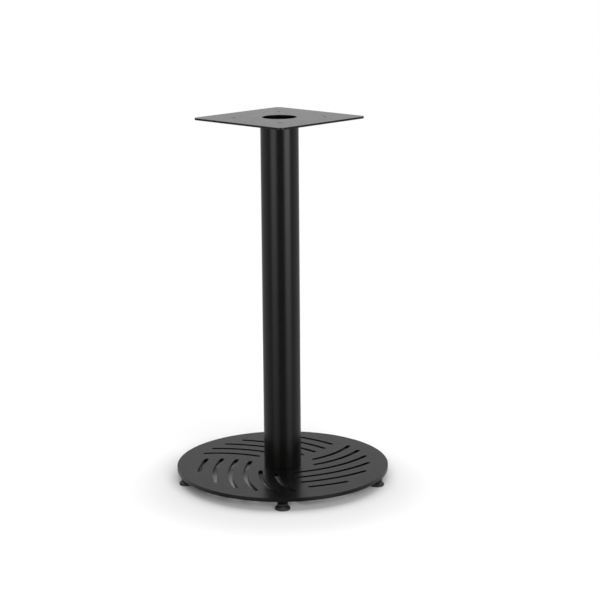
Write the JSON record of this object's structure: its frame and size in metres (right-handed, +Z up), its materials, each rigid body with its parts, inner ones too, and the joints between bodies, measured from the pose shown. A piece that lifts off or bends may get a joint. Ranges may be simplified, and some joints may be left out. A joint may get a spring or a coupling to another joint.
{
  "type": "pedestal table base",
  "caption": "Free-standing pedestal base: a slotted disc foot on five screw-adjustable feet, a round tube column and a flat square plate that a table top screws to.",
  "frame": {"origin": "on the floor under the column's axis, with the feet screwed right in", "axes": "+Z up along the column; -Y to the front, where the first of the five feet is; +X to the right as seen from the front"},
  "size_m": [0.435, 0.435, 0.7445],
  "materials": {
    "black_powder_coat": "satin fine-textured black powder coat",
    "black_zinc_steel": "black zinc plated, satin",
    "zinc_plated_steel": "bright zinc plated",
    "black_nylon": "moulded black nylon, satin",
    "dark_rubber": "matt dark rubber"
  },
  "bodies": {
    "frame": {"base_disc": "black_powder_coat", "column_tube": "black_powder_coat", "column_end_plate": "black_powder_coat", "top_plate": "black_powder_coat", "column_bolt_1": "zinc_plated_steel", "flat_washer_1": "zinc_plated_steel", "spring_washer_1": "zinc_plated_steel", "column_bolt_2": "zinc_plated_steel", "flat_washer_2": "zinc_plated_steel", "spring_washer_2": "zinc_plated_steel", "column_bolt_3": "zinc_plated_steel", "flat_washer_3": "zinc_plated_steel", "spring_washer_3": "zinc_plated_steel", "column_bolt_4": "zinc_plated_steel", "flat_washer_4": "zinc_plated_steel", "spring_washer_4": "zinc_plated_steel", "foot_bush_1": "black_powder_coat", "foot_bush_2": "black_powder_coat", "foot_bush_3": "black_powder_coat", "foot_bush_4": "black_powder_coat", "foot_bush_5": "black_powder_coat"},
    "glide_1": {"foot_glide_1": "black_nylon", "foot_pad_1": "dark_rubber"},
    "stud_1": {"foot_stud_1": "black_zinc_steel"},
    "glide_2": {"foot_glide_2": "black_nylon", "foot_pad_2": "dark_rubber"},
    "stud_2": {"foot_stud_2": "black_zinc_steel"},
    "glide_3": {"foot_glide_3": "black_nylon", "foot_pad_3": "dark_rubber"},
    "stud_3": {"foot_stud_3": "black_zinc_steel"},
    "glide_4": {"foot_glide_4": "black_nylon", "foot_pad_4": "dark_rubber"},
    "stud_4": {"foot_stud_4": "black_zinc_steel"},
    "glide_5": {"foot_glide_5": "black_nylon", "foot_pad_5": "dark_rubber"},
    "stud_5": {"foot_stud_5": "black_zinc_steel"}
  },
  "joints": [
    {"name": "foot_lift_1", "type": "slide", "parent": "frame", "child": "glide_1", "axis": [0, 0, -1], "range_m": [0, 0.005]},
    {"name": "foot_screw_1", "type": "hinge", "parent": "glide_1", "child": "stud_1", "pos_m": [-0.00106, -0.2023, 0.013], "axis": [0, 0, -1], "range_deg": [0, 1440]},
    {"name": "foot_lift_2", "type": "slide", "parent": "frame", "child": "glide_2", "axis": [0, 0, -1], "range_m": [0, 0.005]},
    {"name": "foot_screw_2", "type": "hinge", "parent": "glide_2", "child": "stud_2", "pos_m": [0.19093, -0.06686, 0.013], "axis": [0, 0, -1], "range_deg": [0, 1440]},
    {"name": "foot_lift_3", "type": "slide", "parent": "frame", "child": "glide_3", "axis": [0, 0, -1], "range_m": [0, 0.005]},
    {"name": "foot_screw_3", "type": "hinge", "parent": "glide_3", "child": "stud_3", "pos_m": [0.12538, 0.15876, 0.013], "axis": [0, 0, -1], "range_deg": [0, 1440]},
    {"name": "foot_lift_4", "type": "slide", "parent": "frame", "child": "glide_4", "axis": [0, 0, -1], "range_m": [0, 0.005]},
    {"name": "foot_screw_4", "type": "hinge", "parent": "glide_4", "child": "stud_4", "pos_m": [-0.10929, 0.17024, 0.013], "axis": [0, 0, -1], "range_deg": [0, 1440]},
    {"name": "foot_lift_5", "type": "slide", "parent": "frame", "child": "glide_5", "axis": [0, 0, -1], "range_m": [0, 0.005]},
    {"name": "foot_screw_5", "type": "hinge", "parent": "glide_5", "child": "stud_5", "pos_m": [-0.19654, -0.04791, 0.013], "axis": [0, 0, -1], "range_deg": [0, 1440]}
  ],
  "couplings": [
    {"joint": "foot_lift_1", "follows": "foot_screw_1", "m_per_rad": 0.00019894},
    {"joint": "foot_lift_2", "follows": "foot_screw_2", "m_per_rad": 0.00019894},
    {"joint": "foot_lift_3", "follows": "foot_screw_3", "m_per_rad": 0.00019894},
    {"joint": "foot_lift_4", "follows": "foot_screw_4", "m_per_rad": 0.00019894},
    {"joint": "foot_lift_5", "follows": "foot_screw_5", "m_per_rad": 0.00019894}
  ]
}
